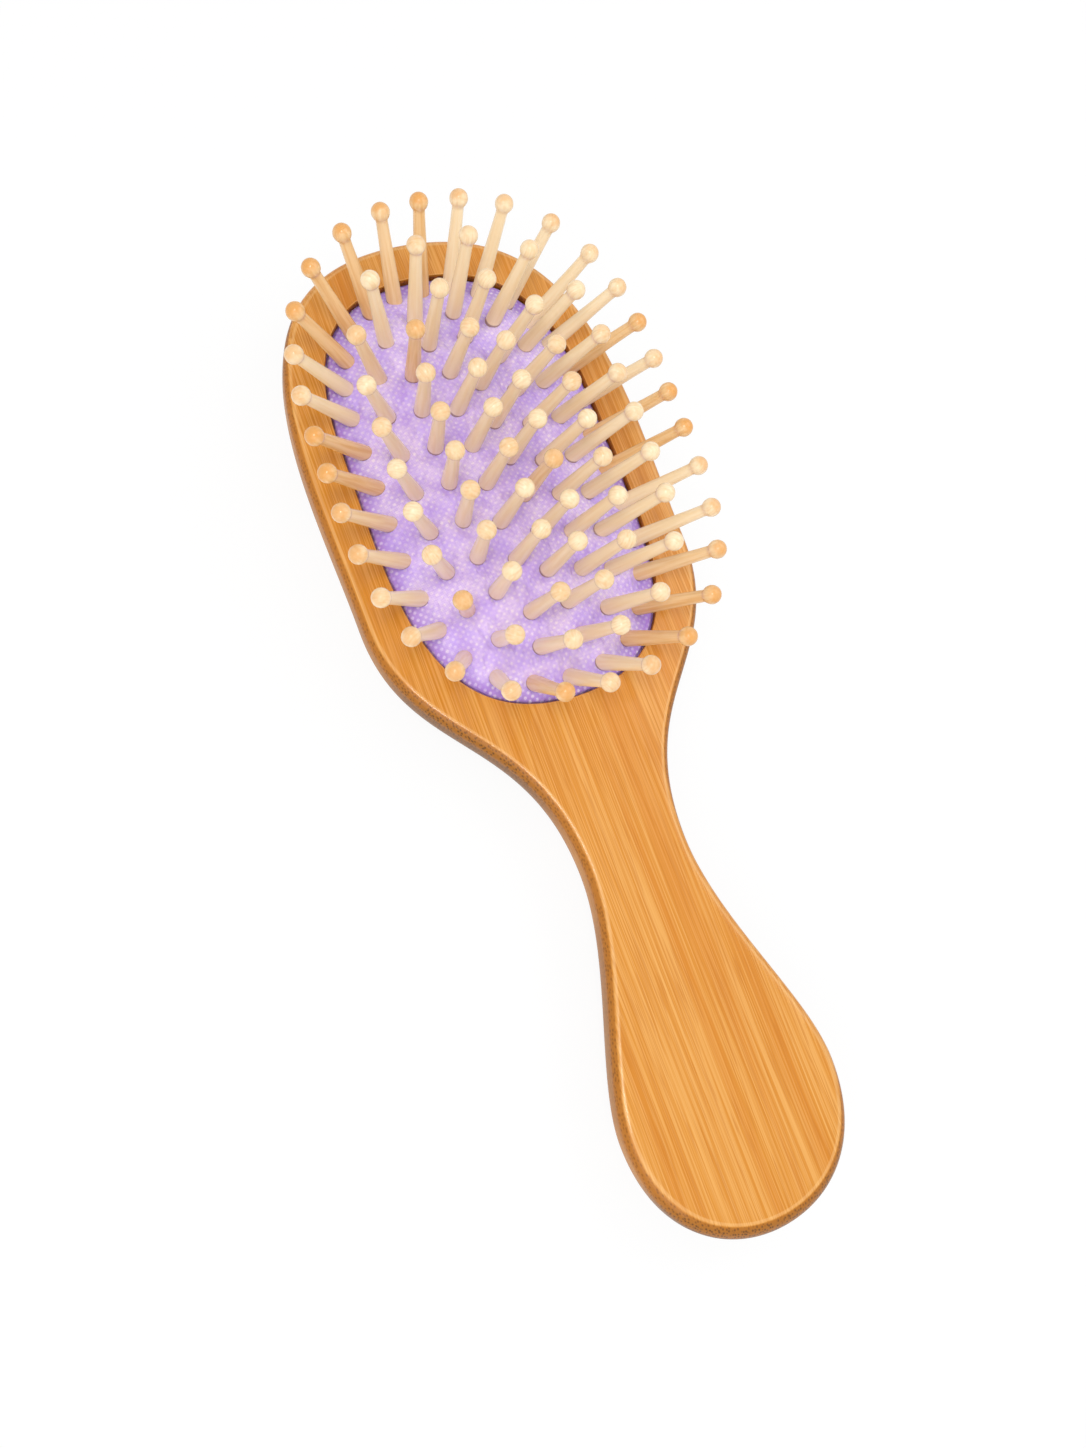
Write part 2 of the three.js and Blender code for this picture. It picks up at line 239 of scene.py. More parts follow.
def evenly(line, count, shift=0.0, along=None, crowding=0.0):
    """Points at even steps round a closed line, or of another line with as many points.

    With crowding the steps are shorter by that share at the line's start and longer opposite it.
    """
    along = line if along is None else along
    closed = np.vstack([line, line[:1]])
    guide = np.vstack([along, along[:1]])
    run = np.r_[0, np.cumsum(np.linalg.norm(np.diff(guide, axis=0), axis=1))]
    even = (np.arange(count) + shift) / count
    at = (even - crowding * np.sin(2 * math.pi * even) / (2 * math.pi)) * run[-1]
    return np.column_stack([np.interp(at, run, closed[:, k]) for k in range(closed.shape[1])])


quarter = bezier([(0, 1), (0.55, 1), (1, 0.55), (1, 0)], steps=3)
print("halfway round a quarter circle:", quarter[1].round(2))


# %% Closed lines
def closed_line(stretches, count):
    half = np.vstack([bezier(s)[:-1] for s in stretches] + [[stretches[-1][-1]]])
    left = half * [-1, 1]
    return evenly(np.vstack([left, half[-2:0:-1]]), count)


def offset(line, distance):
    run = np.roll(line, -1, axis=0) - np.roll(line, 1, axis=0)
    run /= np.linalg.norm(run, axis=1)[:, None]
    return line + np.column_stack([run[:, 1], -run[:, 0]]) * distance


def raised(line, z):
    return np.column_stack([line[:, :2], np.broadcast_to(z, len(line))])


ring = closed_line([[(0, 1), (0.55, 1), (1, 0.55), (1, 0)], [(1, 0), (1, -0.55), (0.55, -1), (0, -1)]], 60)
print("a ring 2 mm wide, moved out by 1 mm:", np.ptp(offset(ring, 1), axis=0).round(1), "mm")


# %% The two outlines
BODY_STEPS, POCKET_STEPS = 640, 420
head, head_y, shoulder, shoulder_y = 36.1, LENGTH - 50.5, 35.5, LENGTH - 77.5
neck, neck_y, grip, grip_y = 10.9, 73, 22.3, 24.4
body_line = closed_line([
    [(0, LENGTH), (31.8, LENGTH), (head, head_y + 25.2), (head, head_y)],
    [(head, head_y), (head, head_y - 9.5), (shoulder, shoulder_y + 8.1), (shoulder, shoulder_y)],
    [(shoulder, shoulder_y), (shoulder, shoulder_y - 27.8), (neck, neck_y + 31.2), (neck, neck_y)],
    [(neck, neck_y), (neck, neck_y - 16.7), (grip, grip_y + 12.4), (grip, grip_y)],
    [(grip, grip_y), (grip, grip_y - 17.4), (10.8, 0), (0, 0)],
], BODY_STEPS)

pocket_top, pocket_half = LENGTH - 9, 27.4
pocket_end, widest = pocket_top - 94.7, pocket_top - 33.5
pocket_line = closed_line([
    [(0, pocket_top), (20.8, pocket_top), (pocket_half, widest + 19.4), (pocket_half, widest)],
    [(pocket_half, widest), (pocket_half, widest - 26.7), (32.2, pocket_end), (0, pocket_end)],
], POCKET_STEPS)
print("body", np.ptp(body_line, axis=0).round(1), "mm")
print("pocket", np.ptp(pocket_line, axis=0).round(1), "mm")


# %% [markdown]
# ## From rows of points to a mesh
#
# The body and the cushion are both skins: rows of points, one above or inside the other, with a
# quad between each step of one row and the next. Where the rows run up the outside and then
# inwards over the top, the quads face outwards. Flat areas are closed by filled outlines.
#
# Shading is smooth except where faces meet at a sharp angle. A flat area next to a rounded edge
# gets one extra row close to its border, so that the rounding's shading ends there and doesn't
# spread over the whole flat.

# %% Skin
def quads(rows, count):
    found = []
    here = np.arange(count)
    ahead = (here + 1) % count
    for row in range(rows - 1):
        low, high = row * count, (row + 1) * count
        found += np.column_stack([low + here, low + ahead, high + ahead, high + here]).tolist()
    return found


def make_piece(name, points, faces, material, sharp=35):
    """A mesh from points in mm, measured from the end of the handle, moved into the shared frame."""
    mesh = bpy.data.meshes.new(name)
    mesh.from_pydata(((np.asarray(points) - (0, LENGTH / 2, 0)) * MM).tolist(), [], faces)
    mesh.validate()
    mesh.shade_smooth()
    mesh.set_sharp_from_angle(angle=math.radians(sharp))
    mesh.materials.append(material)
    piece = bpy.data.objects.new(name, mesh)
    bpy.context.scene.collection.objects.link(piece)
    print(name, len(mesh.vertices), "points,", len(mesh.polygons), "faces")
    return piece


print("between two rows of four points:", len(quads(2, 4)), "quads")


# %% [markdown]
# ## Laminated bamboo
#
# Bamboo isn't a tree but a grass: a strip of it is a bundle of long fibres in a paler ground.
# Strips are steamed until they turn honey brown, glued side by side into a board, cut out, sanded
# and lacquered. Along the fibres the eye sees fine straight streaks and soft bands where one
# strip ends and the next begins.
#
# The streaks could be painted on an image, but an image has to be fitted to the shape. A solid
# pattern needs no fitting: noise that is stretched along Y is a set of long threads that run
# through the whole board, and each face shows the threads that it cuts. Three sizes of noise
# make the fibres (0.3 mm), their bundles (0.6 mm) and the strips (about 5 mm).

# %% Bamboo: fibres and strips
# Laminated bamboo, sawn to shape, sanded and lacquered. To the eye that is a honey ground with
# fine darker lines and a few paler ones, in soft bands as wide as the strips.
bamboo, tree = new_material("laminated bamboo, lacquered")
place = add(tree, "ShaderNodeTexCoord")
wood = place.outputs["Object"]


def cell(x, y, z):
    """The scale at which one unit of a pattern is x, y and z mm long."""
    return (1 / (x * MM), 1 / (y * MM), 1 / (z * MM))


FIBRE, BUNDLE, STRIP = 0.3, 0.6, 4.8
FIBRE_RUN, STRIP_RUN = 45, 160
noises = []
for thick, long, detail, start in (
    (FIBRE, FIBRE_RUN, 1.0, 0.0),
    (BUNDLE, FIBRE_RUN, 2.0, 5.3),
    (STRIP, STRIP_RUN, 1.5, 41.6),
):
    drawn_out = add(tree, "ShaderNodeMapping", {
        "Vector": wood, "Scale": cell(thick, long, thick), "Location": (start, start, start),
    })
    noises.append(add(tree, "ShaderNodeTexNoise", {
        "Vector": drawn_out.outputs[0], "Scale": 1.0, "Detail": detail,
    }))
fibres, bundles, strips = noises
ground = add(tree, "ShaderNodeMapRange", {0: fibres.outputs[0], 1: 0.34, 2: 0.66},
             interpolation_type="SMOOTHSTEP")
colour = add(tree, "ShaderNodeMix", {0: ground.outputs[0], 6: srgb("#CE862A"), 7: srgb("#DD9F51")},
             data_type="RGBA")
band = add(tree, "ShaderNodeMapRange", {0: strips.outputs[0], 1: 0.46, 2: 0.66, 3: 0.0, 4: 0.5},
           interpolation_type="SMOOTHSTEP")
colour = add(tree, "ShaderNodeMix", {0: band.outputs[0], 6: colour.outputs[2], 7: srgb("#C87815")},
             data_type="RGBA")
print("ground and bands ready")

# %% Bamboo: lines
# A line runs wherever the noise of the bundles passes through its middle value, 0.5.
line = add(tree, "ShaderNodeMath", {0: bundles.outputs[0], 1: 0.5}, operation="SUBTRACT")
line = add(tree, "ShaderNodeMath", {0: line.outputs[0]}, operation="ABSOLUTE")
line = add(tree, "ShaderNodeMapRange", {0: line.outputs[0], 1: 0.04, 2: 0.012, 3: 0.0, 4: 0.5},
           interpolation_type="SMOOTHSTEP")
colour = add(tree, "ShaderNodeMix", {0: line.outputs[0], 6: colour.outputs[2], 7: srgb("#BC7014")},
             data_type="RGBA")
pale_line = add(tree, "ShaderNodeMapRange", {0: bundles.outputs[0], 1: 0.42, 2: 0.3, 3: 0.0, 4: 0.18},
                interpolation_type="SMOOTHSTEP")
face = add(tree, "ShaderNodeMix", {0: pale_line.outputs[0], 6: colour.outputs[2], 7: srgb("#F0B868")},
           data_type="RGBA")
print("dark and pale lines ready")


# %% [markdown]
# ### The edge of the board
#
# On the edge the saw cuts across the fibres, and the eye sees the ends of the bundles as small
# dark dots in a browner ground. Real ones are about 0.4 mm across. That is too fine to show in
# the render, so they are drawn as cells of 0.5 mm by 0.8 mm.
#
# The edge has two heights. The round at the face is freshly sanded and shows bright dotted end
# grain. From 11.5 mm down the wall is browner, partly the colour of the sawn edge and partly
# painted shade: where it runs along the fibres it shows the grain of the face under a brown tint,
# and where it cuts them it is rough and dark.
#
# What belongs where follows from the way the surface faces. `upright` tells how squarely it looks
# up, and `crossing` how squarely it cuts the fibres. Just before the dots start, at the arris, a
# thin pale line is a painted highlight. On the round at the head and at the right, the face's
# colour runs further over, as in the photograph: that is painted light, which shows the round
# there as light as the face instead of dark with cut ends.

# %% Bamboo: which way the surface faces
facing = add(tree, "ShaderNodeSeparateXYZ", {0: place.outputs["Normal"]})
upright = add(tree, "ShaderNodeMath", {0: facing.outputs[2]}, operation="ABSOLUTE")
crossing = add(tree, "ShaderNodeMath", {0: facing.outputs[1]}, operation="ABSOLUTE")
crossing = add(tree, "ShaderNodeMapRange", {0: crossing.outputs[0], 1: 0.1, 2: 0.55},
               interpolation_type="SMOOTHSTEP")
# Below the round the wall is painted darker and browner: partly the sawn edge's own colour, partly painted
# shade.
ROUND_DOWN_TO, WALL_FROM = 11.5, 10.4
height = add(tree, "ShaderNodeSeparateXYZ", {0: wood})
low = add(tree, "ShaderNodeMapRange", {0: height.outputs[2], 1: ROUND_DOWN_TO * MM, 2: WALL_FROM * MM},
          interpolation_type="SMOOTHSTEP")
print("the wall's own colour is full from", WALL_FROM, "mm down")

# %% Bamboo: the cut ends of the bundles
ends = add(tree, "ShaderNodeMapping", {"Vector": wood, "Scale": cell(0.5, 0.8, 0.5)})
cells = add(tree, "ShaderNodeTexVoronoi", {"Vector": ends.outputs[0], "Scale": 1.0, "Randomness": 0.65})
dot = add(tree, "ShaderNodeMapRange", {0: cells.outputs["Distance"], 1: 0.2, 2: 0.52, 3: 1.0, 4: 0.0},
          interpolation_type="SMOOTHSTEP")
dotted = add(tree, "ShaderNodeMix", {0: dot.outputs[0], 6: srgb("#A0620E"), 7: srgb("#643C06")},
             data_type="RGBA")
streaked = add(tree, "ShaderNodeMix", {0: dot.outputs[0], 6: srgb("#B06C18"), 7: srgb("#945808")},
               data_type="RGBA")
round_over = add(tree, "ShaderNodeMix", {
    0: crossing.outputs[0], 6: streaked.outputs[2], 7: dotted.outputs[2],
}, data_type="RGBA")
clouds = add(tree, "ShaderNodeMapping", {"Vector": wood, "Scale": cell(6, 18, 6)})
cloud = add(tree, "ShaderNodeTexNoise", {"Vector": clouds.outputs[0], "Scale": 1.0, "Detail": 2.0})
cloud = add(tree, "ShaderNodeMapRange", {0: cloud.outputs[0], 1: 0.3, 2: 0.7, 3: 0.8, 4: 0.5},
            interpolation_type="SMOOTHSTEP")
smooth = add(tree, "ShaderNodeMix", {0: cloud.outputs[0], 6: face.outputs[2], 7: srgb("#9E6212")},
             data_type="RGBA")
rough = add(tree, "ShaderNodeMix", {0: dot.outputs[0], 6: srgb("#86541A"), 7: srgb("#664010")},
            data_type="RGBA")
# The lower wall's colour: partly the edge's own brown, partly painted shade.
wall_brown_and_shade = add(tree, "ShaderNodeMix", {0: crossing.outputs[0], 6: smooth.outputs[2], 7: rough.outputs[2]},
           data_type="RGBA")
edge = add(tree, "ShaderNodeMix", {0: low.outputs[0], 6: round_over.outputs[2], 7: wall_brown_and_shade.outputs[2]},
           data_type="RGBA")
print("colours of the round and the wall ready")

# %% Bamboo: from the face to the edge
# `turned_off` grows as the surface turns off the face, and fastest towards the handle's end.
# A second measure holds the cut ends back on the round at the head and at the right: painted light that
# shows the round there as light as the face.
to_hand = add(tree, "ShaderNodeMath", {0: facing.outputs[1], 1: 0.0}, operation="MINIMUM")
across_fibres = add(tree, "ShaderNodeMath", {0: to_hand.outputs[0], 1: 2.0}, operation="POWER")
turned_off = add(tree, "ShaderNodeMath", {0: 1.0, 1: upright.outputs[0]}, operation="SUBTRACT")
turned_off = add(tree, "ShaderNodeMath", {
    0: across_fibres.outputs[0], 1: 2.0, 2: turned_off.outputs[0],
}, operation="MULTIPLY_ADD")
# Painted light: the round that faces the head and the right is kept in the face's colour.
away = add(tree, "ShaderNodeMath", {0: facing.outputs[0], 1: 0.3, 2: facing.outputs[1]},
           operation="MULTIPLY_ADD")
spared_as_painted_light = add(tree, "ShaderNodeMapRange", {0: away.outputs[0], 1: 0.0, 2: 0.45, 3: 0.0, 4: 0.5})
upper = add(tree, "ShaderNodeMapRange", {0: facing.outputs[2], 1: 0.0, 2: 0.3})
spared_as_painted_light = add(tree, "ShaderNodeMath", {0: spared_as_painted_light.outputs[0], 1: upper.outputs[0]}, operation="MULTIPLY")
cut = add(tree, "ShaderNodeMath", {0: turned_off.outputs[0], 1: spared_as_painted_light.outputs[0]},
          operation="SUBTRACT")
cut = add(tree, "ShaderNodeMapRange", {0: cut.outputs[0], 1: 0.08, 2: 0.2},
          interpolation_type="SMOOTHSTEP")
# Painted highlight: a thin pale band at the arris, just where the surface starts to turn off the face.
rising = add(tree, "ShaderNodeMapRange", {0: turned_off.outputs[0], 1: 0.004, 2: 0.02},
             interpolation_type="SMOOTHSTEP")
falling = add(tree, "ShaderNodeMapRange", {0: turned_off.outputs[0], 1: 0.06, 2: 0.12, 3: 0.24, 4: 0.0},
              interpolation_type="SMOOTHSTEP")
arris = add(tree, "ShaderNodeMath", {0: rising.outputs[0], 1: falling.outputs[0]}, operation="MULTIPLY")
colour = add(tree, "ShaderNodeMix", {0: arris.outputs[0], 6: face.outputs[2], 7: srgb("#F8CE90")},
             data_type="RGBA")
colour = add(tree, "ShaderNodeMix", {0: cut.outputs[0], 6: colour.outputs[2], 7: edge.outputs[2]},
             data_type="RGBA")
print("arris and cut ready")

# %% Bamboo: lacquer
# Lacquer fills most of the grain. What is left to the eye is a soft sheen over shallow lines, a
# thin highlight on the arris, and a duller edge with small pits where the bundles are cut. Solid
# lacquer has an IOR near 1.5. This one is matt and thin, so the wood keeps 1.3 under a light coat.
grain = add(tree, "ShaderNodeBump", {
    "Height": fibres.outputs[0], "Strength": 0.2, "Distance": 0.05 * MM,
})
pits = add(tree, "ShaderNodeMath", {0: dot.outputs[0], 1: cut.outputs[0]}, operation="MULTIPLY")
pitted = add(tree, "ShaderNodeBump", {
    "Height": pits.outputs[0], "Strength": 0.4, "Distance": 0.03 * MM, "Normal": grain.outputs[0],
}, invert=True)
dull = add(tree, "ShaderNodeMapRange", {0: low.outputs[0], 3: 0.42, 4: 0.55})
lacquer = add(tree, "ShaderNodeBsdfPrincipled", {
    "Base Color": colour.outputs[2], "Roughness": dull.outputs[0], "Normal": pitted.outputs[0],
    "IOR": 1.3, "Coat Weight": 0.3, "Coat Roughness": 0.1,
})
add(tree, "ShaderNodeOutputMaterial", {"Surface": lacquer.outputs[0]})
print("bamboo:", len(tree.nodes), "nodes")


# %% [markdown]
# ## The body
#
# The board is routed round its outline with a small round at the face and a wide one at the back,
# and a pocket is cut into the head. At the handle's end the face is rounded wider, where the palm
# rests. The pocket has a groove under its lip, where the cushion's bead is clipped in. All of that
# is one profile that runs round two outlines: up the outside, over the face, and down into the
# pocket. The face between the two outlines is filled in flat.
#
# A boolean cut and a bevel could make it too, but where the outline bends sharply a bevel leaves
# uneven faces. Offset outlines keep every row even.

# %% Body: the outside
FACE_ROUND, BACK_ROUND = 2, 9.3
PALM_ROUND, PALM_REACH = 1.2, 34
BORDER = 0.4


def rounding(line, radius, centre_z, start, steps):
    """Rows of points over a quarter round, from the angle start on, that begins at the line."""
    found = []
    inset = np.reshape(radius, (-1, 1))
    for angle in np.radians(start + np.linspace(0, 90, steps + 1)):
        z = centre_z + radius * math.sin(angle)
        found.append(raised(offset(line, inset * (math.cos(angle) - 1)), z))
    return found


outside = [raised(offset(body_line, -BACK_ROUND - BORDER), 0)]
outside += rounding(body_line, BACK_ROUND, BACK_ROUND, -90, 18)
face_round = FACE_ROUND + PALM_ROUND * np.clip(1 - body_line[:, 1] / PALM_REACH, 0, 1) ** 1.5
outside += rounding(body_line, face_round, THICKNESS - face_round, 0, 8)
outside += [raised(offset(body_line, -face_round[:, None] - BORDER), THICKNESS)]
print(len(outside), "rows outside, the face's round is at most", face_round.max().round(1), "mm")

# %% Body: the pocket
LIP = 0.4
GROOVE_DEPTH = 1.8
groove_top = THICKNESS - 1.6
groove_bottom = groove_top - 2.2
pocket_floor = THICKNESS - 6
inside = [raised(offset(pocket_line, 2 * LIP), THICKNESS)]
for turn in np.radians([90, 67, 45, 22, 0]):
    distance, drop = LIP * (1 - math.cos(turn)), LIP * (1 - math.sin(turn))
    inside.append(raised(offset(pocket_line, distance), THICKNESS - drop))
for distance, z in (
    (0, groove_top),
    (GROOVE_DEPTH, groove_top),
    (GROOVE_DEPTH, groove_bottom),
    (0, groove_bottom),
    (0, pocket_floor),
    (-BORDER, pocket_floor),
):
    inside.append(raised(offset(pocket_line, distance), z))
print(len(inside), "rows inside")

# %% Body mesh
points = np.vstack(outside + inside)
start = len(outside) * BODY_STEPS
faces = quads(len(outside), BODY_STEPS)
faces += [[start + v for v in q] for q in quads(len(inside), POCKET_STEPS)]
faces.append(list(range(BODY_STEPS))[::-1])
faces.append(list(range(len(points) - POCKET_STEPS, len(points))))
for triangle in tessellate_polygon([[Vector(p) for p in outside[-1]], [Vector(p) for p in inside[0]]]):
    corner = [v + start - BODY_STEPS if v < BODY_STEPS else v - BODY_STEPS + start for v in triangle]
    a, b, c = (points[v][:2] for v in corner)
    faces.append(corner if np.cross(b - a, c - a) > 0 else corner[::-1])
paddle = make_piece("bamboo_paddle", points, faces, bamboo)


# %% [markdown]
# ## Where the pins stand
#
# The pins stand in four closed rows round the cushion. They could be placed one by one by eye,
# but a brush maker punches the holes in even steps with a jig, and a rule does the same.
#
# A point on the cushion is told by how far out it lies: 0 is the cushion's middle line and 1 is
# its edge. The sheet is highest in the middle and falls ever faster towards the edge. A pin
# stands square to nothing: it leans outwards more, the further out it stands, and the whole field
# leans a little to the handle. The outer row stands closer together at the head than at the
# handle's end.

# %% Cushion and pin places
CLEARANCE = 0.3
RIM_DROP, CROWN, CROWN_POWER = 1, 5.8, 2.6
SIDE_SPLAY, HEAD_SPLAY, HAND_SPLAY, SPLAY_POWER, LEAN = 47, 41, 20, 1.7, 6
PIN_REACH, BALL, NECK, FOOT = 19.5, 3.75, 2.35, 3.4
edge_line = offset(pocket_line, -CLEARANCE)
middle_low, middle_high = pocket_end + pocket_half, pocket_top - pocket_half


def sheet_top(out):
    return THICKNESS - RIM_DROP + CROWN * (1 - out**CROWN_POWER)


def cushion_row(out):
    middle = np.clip(edge_line[:, 1], middle_low, middle_high)
    middle = np.column_stack([np.zeros(len(edge_line)), middle])
    return middle + (edge_line - middle) * out


def pin_places(out, count, shift, along=None, crowding=0.0):
    row = cushion_row(out)
    ahead = np.roll(row, -1, axis=0) - np.roll(row, 1, axis=0)
    ahead /= np.linalg.norm(ahead, axis=1)[:, None]
    guide = cushion_row(out if along is None else along)
    found = evenly(np.hstack([row, ahead]), count, shift, guide, crowding)
    foot = raised(found[:, :2], sheet_top(out))
    outward = np.column_stack([found[:, 3], -found[:, 2]])
    at_end = np.where(outward[:, 1] > 0, HEAD_SPLAY, HAND_SPLAY)
    splay = (SIDE_SPLAY + (at_end - SIDE_SPLAY) * np.abs(outward[:, 1])) * out**SPLAY_POWER
    axis = np.column_stack([outward * np.tan(np.radians(splay))[:, None], np.ones(count)])
    axis[:, 1] -= math.tan(math.radians(LEAN))
    return foot, axis / np.linalg.norm(axis, axis=1)[:, None]


print("sheet's top:", sheet_top(0), "mm in the middle,", sheet_top(1), "mm at the edge")

# %% The four rows
pin_rows = {
    "outer_row": pin_places(0.872, 32, 0, along=1, crowding=0.1),
    "second_row": pin_places(0.63, 22, 0.5),
    "middle_row": pin_places(0.38, 18, 0.5),
    "centre_row": pin_places(0.12, 12, 0.25),
}
all_feet = np.vstack([foot for foot, axis in pin_rows.values()])
print(len(all_feet), "pins, highest foot", all_feet[:, 2].max().round(2), "mm")


# %% [markdown]
# ## Lilac cloth
#
# The face of the cushion is a plain-woven polyester cloth, bonded to rubber and printed with
# small pale dots in staggered lines, 1.1 mm apart. Thousands of dots as geometry would be far too
# heavy for a print without any height, so they are a pattern of the material.
#
# A Voronoi texture with little randomness is a square grid of cell centres, and the distance to
# them makes round dots. Turned by 45 degrees, its rows are staggered. Each cell also has a chance
# colour of its own, which makes some dots fainter, as printed dots on a coarse weave are.
#
# The colour isn't even: it has soft patches of painted light and shade, painted shade makes it
# a little stronger in the creases, and at the border, where it turns down into the groove, painted
# shade makes it much deeper.

# %% Cloth: ground and dots
# Plain-woven polyester, dyed lilac and printed. To the eye it is matt and dry, with fine threads,
# pale dots, soft patches of lighter and deeper lilac that are painted light and shade of soft
# folds, creases with painted shade, a deep painted shade at the border, and a faint sheen at a slant.
cloth, tree = new_material("lilac woven cloth, dotted")
place = add(tree, "ShaderNodeTexCoord").outputs["Object"]
DOT_STEP, PATCH = 1.1, 6
staggered = add(tree, "ShaderNodeMapping", {
    "Vector": place, "Rotation": (0, 0, math.radians(45)),
    "Scale": cell(DOT_STEP, DOT_STEP, DOT_STEP),
})
grid = add(tree, "ShaderNodeTexVoronoi", {
    "Vector": staggered.outputs[0], "Scale": 1.0, "Randomness": 0.15,
}, voronoi_dimensions="2D")
dots = add(tree, "ShaderNodeMapRange", {0: grid.outputs["Distance"], 1: 0.12, 2: 0.42},
           interpolation_type="SMOOTHSTEP")
own = add(tree, "ShaderNodeSeparateColor", {0: grid.outputs["Color"]})
strength = add(tree, "ShaderNodeMapRange", {0: own.outputs[0], 3: 0.35, 4: 0.8})
dots = add(tree, "ShaderNodeMath", {0: 1.0, 1: dots.outputs[0]}, operation="SUBTRACT")
dots = add(tree, "ShaderNodeMath", {0: dots.outputs[0], 1: strength.outputs[0]}, operation="MULTIPLY")
# Painted light and shade: soft patches of lighter and deeper lilac stand in for broad folds, and the dots
# fade in the deeper ones.
wide = add(tree, "ShaderNodeMapping", {"Vector": place, "Scale": cell(PATCH, PATCH, PATCH)})
patches = add(tree, "ShaderNodeTexNoise", {"Vector": wide.outputs[0], "Scale": 1.0, "Detail": 3.0})
shade = add(tree, "ShaderNodeMapRange", {0: patches.outputs[0], 1: 0.35, 2: 0.68},
            interpolation_type="SMOOTHSTEP")
colour = add(tree, "ShaderNodeMix", {0: shade.outputs[0], 6: srgb("#E3CFFF"), 7: srgb("#CAAFFC")},
             data_type="RGBA")
fading = add(tree, "ShaderNodeMath", {0: shade.outputs[0], 1: -0.35, 2: 1.0}, operation="MULTIPLY_ADD")
dots = add(tree, "ShaderNodeMath", {0: dots.outputs[0], 1: fading.outputs[0]}, operation="MULTIPLY")
spot = add(tree, "ShaderNodeSeparateXYZ", {0: place})
# Painted shade: the cloth turns a deep purple as it falls from 14.2 mm to 12.2 mm, towards the groove.
BORDER_SHADE_FROM, BORDER_SHADE_TO = 14.2, 12.2
border_shade = add(tree, "ShaderNodeMapRange", {
    0: spot.outputs[2], 1: BORDER_SHADE_FROM * MM, 2: BORDER_SHADE_TO * MM, 3: 0.0, 4: 0.75,
}, interpolation_type="SMOOTHSTEP")
colour = add(tree, "ShaderNodeMix", {0: border_shade.outputs[0], 6: colour.outputs[2], 7: srgb("#A06ED0")},
             data_type="RGBA")
colour = add(tree, "ShaderNodeMix", {0: dots.outputs[0], 6: colour.outputs[2], 7: srgb("#FAF0FF")},
             data_type="RGBA")
print("dots and patches ready")

# %% Cloth: weave
# The threads of such a cloth are about 0.3 mm apart. That is finer than the render can show, so
# they are drawn 0.42 mm apart: one wave for the warp times one for the weft.
THREAD = 0.42
waves = []
for axis in (0, 1):
    wave = add(tree, "ShaderNodeMath", {0: spot.outputs[axis], 1: 2 * math.pi / (THREAD * MM)},
               operation="MULTIPLY")
    waves.append(add(tree, "ShaderNodeMath", {0: wave.outputs[0]}, operation="SINE"))
weave = add(tree, "ShaderNodeMath", {0: waves[0].outputs[0], 1: waves[1].outputs[0]},
            operation="MULTIPLY")
slubs = add(tree, "ShaderNodeMapping", {"Vector": place, "Scale": cell(0.75, 0.45, 0.75)})
slub = add(tree, "ShaderNodeTexNoise", {"Vector": slubs.outputs[0], "Scale": 1.0, "Detail": 1.0})
thread = add(tree, "ShaderNodeMath", {0: weave.outputs[0], 1: 0.3, 2: slub.outputs[0]},
             operation="MULTIPLY_ADD")
dim = add(tree, "ShaderNodeMapRange", {0: thread.outputs[0], 1: 0.42, 2: 0.78, 3: 0.0, 4: 0.5})
colour = add(tree, "ShaderNodeMix", {0: dim.outputs[0], 6: colour.outputs[2], 7: srgb("#B898EE")},
             data_type="RGBA")
print("threads", THREAD, "mm apart")

# %% Cloth: creases and surface
# Polyester has an IOR near 1.57, but woven threads scatter most of its gloss. What is left to the
# eye is a dry surface, which roughness 0.85, an IOR of 1.3 and a little sheen come closest to.
crinkle = add(tree, "ShaderNodeMapping", {
    "Vector": place, "Rotation": (0, 0, math.radians(-35)), "Scale": cell(1.5, 3.0, 3.0),
})
crinkle = add(tree, "ShaderNodeTexNoise", {"Vector": crinkle.outputs[0], "Scale": 1.0, "Detail": 2.0})
# Painted shade: the same noise that bumps the creases darkens the cloth in their hollows.
crease_shade = add(tree, "ShaderNodeMapRange", {0: crinkle.outputs[0], 1: 0.5, 2: 0.3, 3: 0.0, 4: 0.32},
             interpolation_type="SMOOTHSTEP")
colour = add(tree, "ShaderNodeMix", {0: crease_shade.outputs[0], 6: colour.outputs[2], 7: srgb("#AC86E4")},
             data_type="RGBA")
creased = add(tree, "ShaderNodeBump", {
    "Height": crinkle.outputs[0], "Strength": 0.8, "Distance": 1.0 * MM,
})
woven = add(tree, "ShaderNodeBump", {
    "Height": weave.outputs[0], "Strength": 0.35, "Distance": 0.06 * MM,
    "Normal": creased.outputs[0],
})
fabric = add(tree, "ShaderNodeBsdfPrincipled", {
    "Base Color": colour.outputs[2], "Roughness": 0.85, "Normal": woven.outputs[0],
    "Sheen Weight": 0.2, "Sheen Roughness": 0.5, "IOR": 1.3,
})
add(tree, "ShaderNodeOutputMaterial", {"Surface": fabric.outputs[0]})
print("cloth:", len(tree.nodes), "nodes")


# %% [markdown]
# ## The cushion
#
# The cushion is a stretched sheet over a chamber of air. It bulges between the pins, is drawn
# down a little round each pin's foot, and has soft puckers where the cloth is looser. At its
# edge it rolls over and goes down into the groove, which leaves a dark line against the bamboo.
#
# A cloth simulation could find this shape, but the sheet is held at 84 feet and at its whole edge,
# so there is little left for it to find. The shape is written directly instead: the crown, a
# small dip at each foot, and low noise for the puckers, which fades at the edge.

# %% Cushion surface
DIP, DIP_REACH, PUCKER = 0.42, 2.5, 1.05
ROLL = 0.5
SHEET = 1.5


